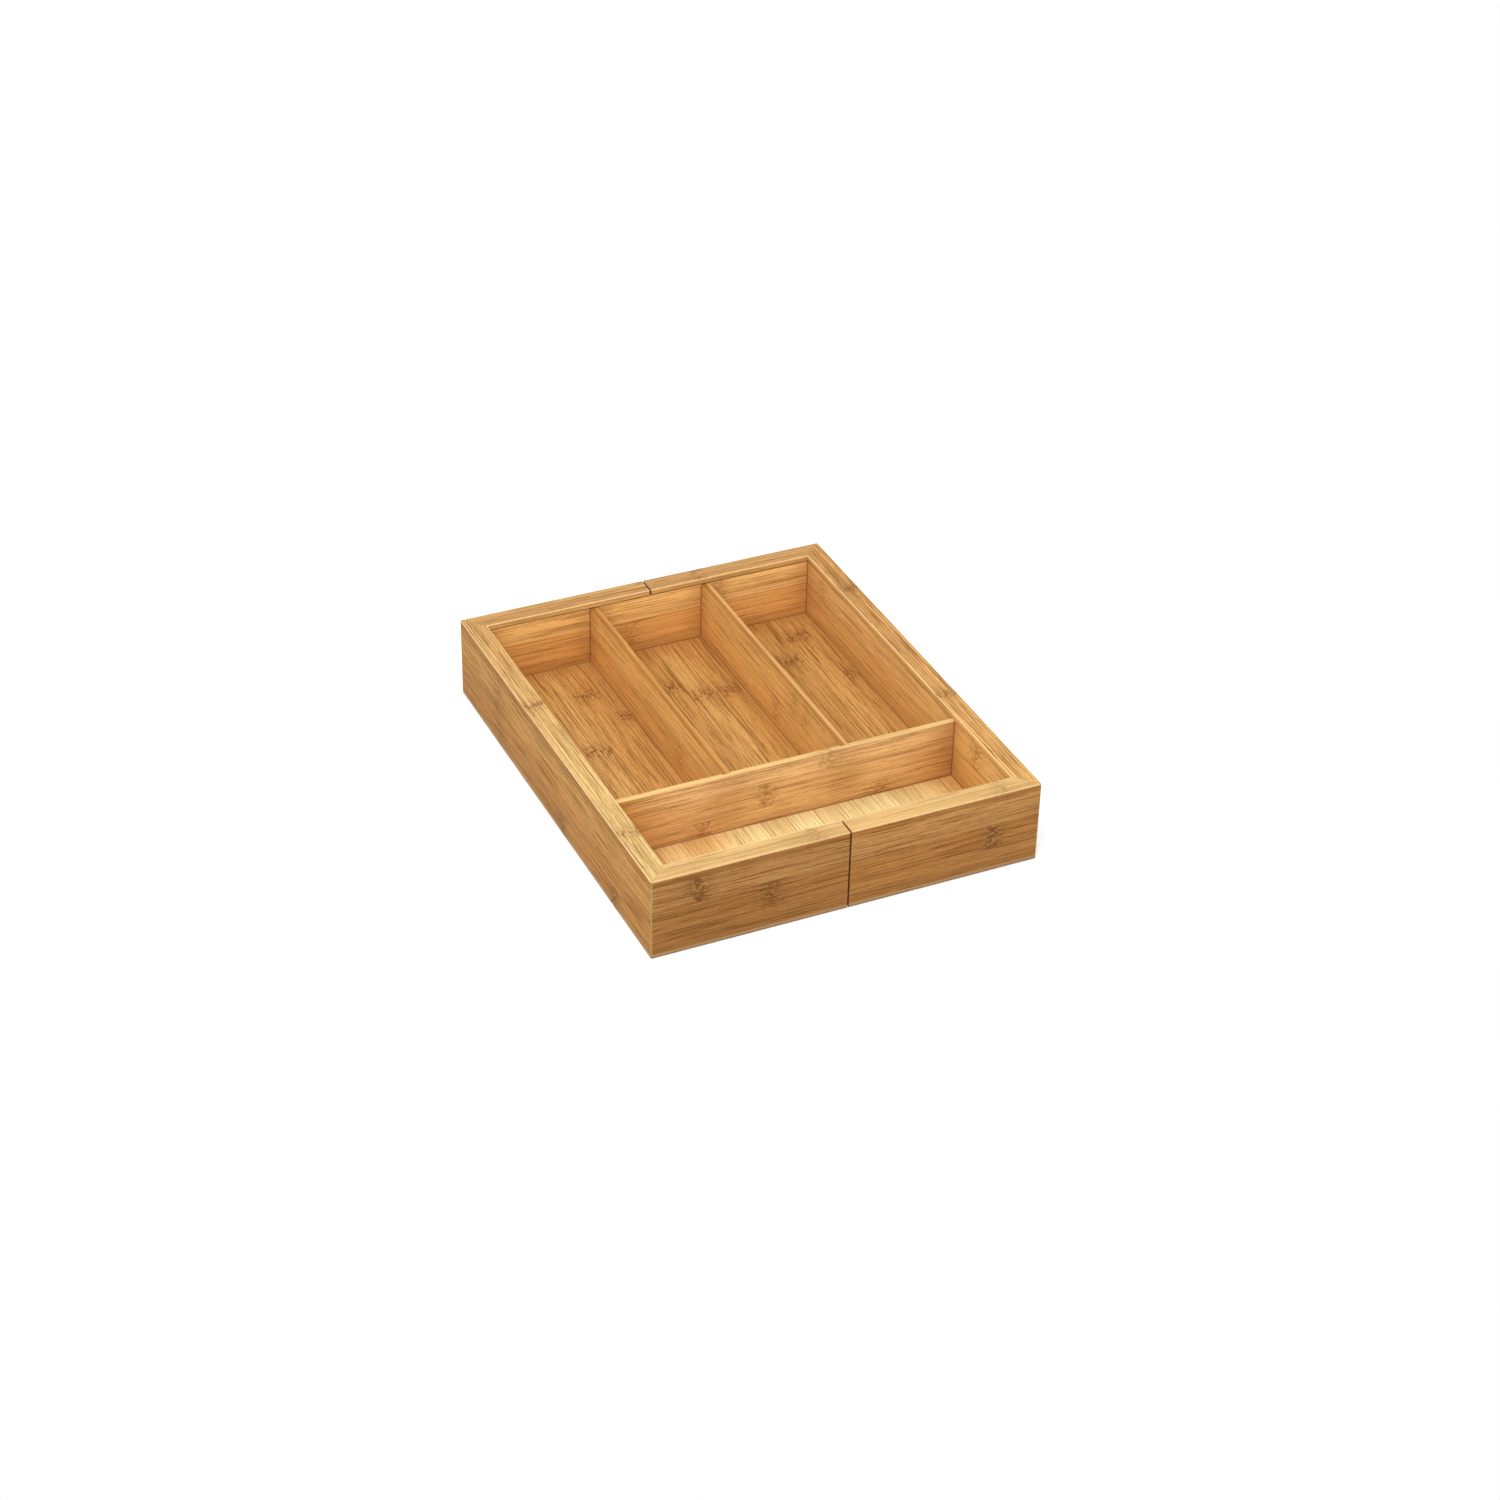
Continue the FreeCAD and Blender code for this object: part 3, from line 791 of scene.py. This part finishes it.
def bamboo_material(board, look, mitred, boxes, gaps):
    """The finish of one board: its own strips, fibres and knuckles, with painted shade and shadow where it
    meets a box or a gap.
    """
    low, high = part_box(board.node)
    order = ["XYZ".index(letter) for letter in board.lay]
    size = [(high - low)[axis] for axis in order]
    material = bpy.data.materials.new("bamboo_" + board.node)
    material.use_nodes = True
    material.node_tree.nodes.clear()
    graph = Graph(material.node_tree)

    source = graph.node("TexCoord").outputs
    from_corner = graph.node("Mapping", {"Vector": source["Object"], "Location": -low}).outputs[0]
    axes = graph.node("SeparateXYZ", {0: from_corner}).outputs
    along, across, through = (axes[axis] for axis in order)
    place = graph.combine(along, across, through)
    normal = graph.node("SeparateXYZ", {0: source["Normal"]}).outputs
    on_edge = facing(graph, normal, order[1])
    looks = looks_of(graph, board, size, along, across, through, on_edge)
    tint, fibre, tone = chosen_look(graph, looks, board.face)
    joint = board.joint_share * size[1]
    strips = grouped(graph, strip_group, look, {
        "Place": place, "Joint": joint, "Layer Joint": board.layers.joint_share * size[2],
        "Layer Thickness": board.layers.thickness * MILLIMETRE,
        "Layer Line": board.layers.line_width * MILLIMETRE, "Seed": board.seed,
    })
    away, depth = nearest_knuckle(graph, board, size, joint, along, strips["Strip"], on_edge, look)
    knuckle = grouped(graph, knuckle_group, look, {"Spot": strips["Spot"], "Away": away, "Depth": depth})
    # Pale sanded edges with a painted highlight, and along the foot a painted reflection of the floor.
    mitre = edge = 0.0
    if mitred:
        joints = grouped(graph, joint_group, look, {"Place": source["Object"]})
        mitre = joints["Mitre"]
        top_edge_highlight = grouped(graph, edge_highlight_group, look, {"Place": place, "Size": size})["Edge"]
        edge = graph.math("MAXIMUM", top_edge_highlight, joints["Edge"])
    # Way to the nearest board or to the floor, for the painted shade and the dark line in corners.
    corner = graph.math("ADD", nearest_board(graph, source["Object"], board.node, boxes), on_edge)
    # Painted shadow on the lip, in a band along its lower edge over the gap above the core walls.
    gap = 0.0
    if gaps:
        to_gap = nearest_board(graph, source["Object"], board.node, gaps)
        gap = graph.ramp(to_gap, 0.0, LIP_SHADOW_FADE, 1.0, 0.0)
    grain = grouped(graph, grain_group, look, {
        "Spot": strips["Spot"], "Strip": strips["Strip"], "Layer": strips["Layer"], "Glue": strips["Glue"],
        "Seed": board.seed, "Fibre": fibre, "Tone": tone, "Tint": tint, "Dashes": knuckle["Dashes"],
        "Shade": knuckle["Shade"], "Mitre": mitre, "End Grain": facing(graph, normal, order[0]),
        "Corner": corner, "Gap Shadow": gap, "Edge": edge,
    })
    bump = graph.node("Bump", {"Height": grain["Height"], "Strength": 0.5, "Distance": look.relief})
    shader = graph.node("BsdfPrincipled", {
        "Base Color": grain["Colour"], "Roughness": grain["Roughness"], "Normal": bump.outputs[0],
        "Specular IOR Level": 0.15,
    })
    output = graph.node("OutputMaterial")
    graph.feed(output.inputs["Surface"], shader.outputs[0])
    return material


def finish_boards(boards, context, mitred=False, boxes=(), gaps=()):
    """Gives each of these boards its own bamboo finish."""
    for board in boards:
        material = bamboo_material(board, context.scene.tray_bamboo, mitred, boxes, gaps)
        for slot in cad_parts[board.node].material_slots:
            slot.material = material


class TRAY_OT_finish_side_rails(bpy.types.Operator):
    """Finish the two long rails of the sleeves"""

    bl_idname = "tray.finish_side_rails"
    bl_label = "Side rails"

    def execute(self, context):
        # The floor box paints shadow along each rail's foot and shade up its lower side.
        finish_boards(SIDE_RAILS, context, mitred=True, boxes=[floor_box()])
        return {"FINISHED"}


class TRAY_OT_finish_end_rails(bpy.types.Operator):
    """Finish the short front and back rails of the sleeves"""

    bl_idname = "tray.finish_end_rails"
    bl_label = "Front and back rails"

    def execute(self, context):
        finish_boards(END_RAILS, context, mitred=True, boxes=[floor_box()], gaps=gap_boxes())
        return {"FINISHED"}


class TRAY_OT_finish_core_walls(bpy.types.Operator):
    """Finish the four walls of the core"""

    bl_idname = "tray.finish_core_walls"
    bl_label = "Core walls"

    def execute(self, context):
        finish_boards(CORE_WALLS, context, boxes=core_boxes())
        return {"FINISHED"}


class TRAY_OT_finish_dividers(bpy.types.Operator):
    """Finish the cross divider and the two long dividers"""

    bl_idname = "tray.finish_dividers"
    bl_label = "Dividers"

    def execute(self, context):
        finish_boards(DIVIDERS, context, boxes=core_boxes())
        return {"FINISHED"}


class TRAY_OT_finish_core_floor(bpy.types.Operator):
    """Finish the floor of the compartments"""

    bl_idname = "tray.finish_core_floor"
    bl_label = "Core floor"

    def execute(self, context):
        finish_boards(CORE_FLOOR, context, boxes=core_boxes())
        return {"FINISHED"}


class TRAY_OT_finish_sleeve_bases(bpy.types.Operator):
    """Finish the base panels of the sleeves and their stop strips"""

    bl_idname = "tray.finish_sleeve_bases"
    bl_label = "Sleeve bases"

    def execute(self, context):
        finish_boards(SLEEVE_BASES, context)
        return {"FINISHED"}


def direction_from(azimuth, elevation):
    """Unit vector towards a point at that azimuth, from the front, and that elevation."""
    level = math.cos(elevation)
    return Vector((math.sin(azimuth) * level, -math.cos(azimuth) * level, math.sin(elevation)))


def shown_rays(graph):
    """1 for what the camera sees, straight or by way of gloss or glass, and else 0."""
    path = graph.node("LightPath").outputs
    return graph.greatest((path["Is Camera Ray"], path["Is Glossy Ray"], path["Is Transmission Ray"]))


def floor_material(settings):
    """A white floor that keeps the shadow, and gives the tray only a little light back."""
    material = bpy.data.materials.new("studio_floor")
    material.use_nodes = True
    material.node_tree.nodes.clear()
    graph = Graph(material.node_tree)
    giving = graph.node("BsdfDiffuse", {"Color": opaque(settings.floor_colour)})
    pale = graph.node("BsdfDiffuse", {"Color": opaque(OFF_WHITE)})
    lift = graph.node("Emission", {"Color": opaque(WHITE), "Strength": 0.35})
    near = graph.node("AddShader", {0: pale.outputs[0], 1: lift.outputs[0]})
    far = graph.node("Emission", {"Color": opaque(WHITE), "Strength": 1.0})
    coordinates = graph.node("TexCoord").outputs["Object"]
    away = graph.node("VectorMath", {0: coordinates}, operation="LENGTH").outputs["Value"]
    tray_reach = CAD_HIGH.to_2d().length
    fade_start, fade_end = tray_reach * 1.2, tray_reach * 2.5
    fade = graph.ramp(away, fade_start, fade_end)
    shown = graph.node("MixShader", {0: fade, 1: near.outputs[0], 2: far.outputs[0]})
    chosen = graph.node("MixShader", {0: shown_rays(graph), 1: giving.outputs[0], 2: shown.outputs[0]})
    output = graph.node("OutputMaterial")
    graph.feed(output.inputs["Surface"], chosen.outputs[0])
    return material


def studio_world(settings):
    """Even light from all round, that looks white where the camera sees it."""
    world = bpy.data.worlds.new("studio_sky")
    world.use_nodes = True
    world.node_tree.nodes.clear()
    graph = Graph(world.node_tree)
    strength = graph.ramp(shown_rays(graph), 0.0, 1.0, settings.sky_strength, 1.0)
    sky = graph.node("Background", {"Color": opaque(WHITE), "Strength": strength})
    output = graph.node("OutputWorld")
    graph.feed(output.inputs["Surface"], sky.outputs[0])
    return world


def camera_turn(back, roll):
    """Turn of a camera that looks against back, level but for its roll."""
    level = Vector((-back.y, back.x, 0.0)).normalized()
    upright = back.cross(level)
    right = level * math.cos(roll) + upright * math.sin(roll)
    up = back.cross(right)
    return Matrix((right, up, back)).transposed().to_4x4()


class TRAY_OT_set_stage(bpy.types.Operator):
    """Set the floor, the light and the camera"""

    bl_idname = "tray.set_stage"
    bl_label = "Stage"

    def execute(self, context):
        settings = context.scene.tray_stage
        scene = context.scene
        scene.view_settings.view_transform = "Standard"
        scene.world = studio_world(settings)

        floor_size, floor_drop = 12.0, 0.1 * MILLIMETRE
        shape = bmesh.new()
        bmesh.ops.create_grid(shape, x_segments=1, y_segments=1, size=floor_size)
        mesh = bpy.data.meshes.new("studio_floor")
        shape.to_mesh(mesh)
        shape.free()
        mesh.materials.append(floor_material(settings))
        floor = bpy.data.objects.new("studio_floor", mesh)
        floor.location.z = CAD_LOW.z - floor_drop
        scene.collection.objects.link(floor)

        towards = direction_from(settings.key_azimuth, settings.key_elevation)
        lamp = bpy.data.lights.new("key_lamp", "AREA")
        lamp.size = settings.key_size
        lamp.energy = settings.key_level * (math.pi * settings.key_height) ** 2
        key = bpy.data.objects.new("key_lamp", lamp)
        key.location = towards * settings.key_height
        key.rotation_euler = towards.to_track_quat("Z", "Y").to_euler()
        scene.collection.objects.link(key)

        lens = bpy.data.cameras.new("photo_camera")
        lens.lens = settings.focal_pixels / PHOTO_PIXELS * lens.sensor_width
        camera = bpy.data.objects.new("photo_camera", lens)
        back = direction_from(settings.azimuth, settings.elevation)
        target = Vector((settings.target_x, settings.target_y, CAD_LOW.z))
        turn = camera_turn(back, settings.roll)
        camera.matrix_world = Matrix.Translation(target + back * settings.distance) @ turn
        scene.collection.objects.link(camera)
        scene.camera = camera
        return {"FINISHED"}


STEPS = (
    TRAY_OT_finish_side_rails,
    TRAY_OT_finish_end_rails,
    TRAY_OT_finish_core_walls,
    TRAY_OT_finish_dividers,
    TRAY_OT_finish_core_floor,
    TRAY_OT_finish_sleeve_bases,
    TRAY_OT_set_stage,
)


class TRAY_PT_panel(bpy.types.Panel):
    """Lists the steps that finish the tray, with their colours and sizes"""

    bl_label = "Cutlery tray"
    bl_space_type = "VIEW_3D"
    bl_region_type = "UI"
    bl_category = "Tray"

    def draw(self, context):
        for step in STEPS:
            self.layout.operator(step.bl_idname)
        for settings in (context.scene.tray_bamboo, context.scene.tray_stage):
            box = self.layout.box()
            for name in settings.__annotations__:
                box.prop(settings, name)


CLASSES = (BambooSettings, StageSettings, *STEPS, TRAY_PT_panel)


def register():
    """Adds the settings, the steps and the panel."""
    for kind in CLASSES:
        bpy.utils.register_class(kind)
    bpy.types.Scene.tray_bamboo = PointerProperty(type=BambooSettings)
    bpy.types.Scene.tray_stage = PointerProperty(type=StageSettings)


def unregister():
    """Takes them away again."""
    del bpy.types.Scene.tray_stage
    del bpy.types.Scene.tray_bamboo
    for kind in reversed(CLASSES):
        bpy.utils.unregister_class(kind)


def main():
    """Finishes the tray step by step."""
    register()
    bpy.ops.tray.finish_side_rails()
    bpy.ops.tray.finish_end_rails()
    bpy.ops.tray.finish_core_walls()
    bpy.ops.tray.finish_dividers()
    bpy.ops.tray.finish_core_floor()
    bpy.ops.tray.finish_sleeve_bases()
    bpy.ops.tray.set_stage()


if __name__ == "__main__":
    main()
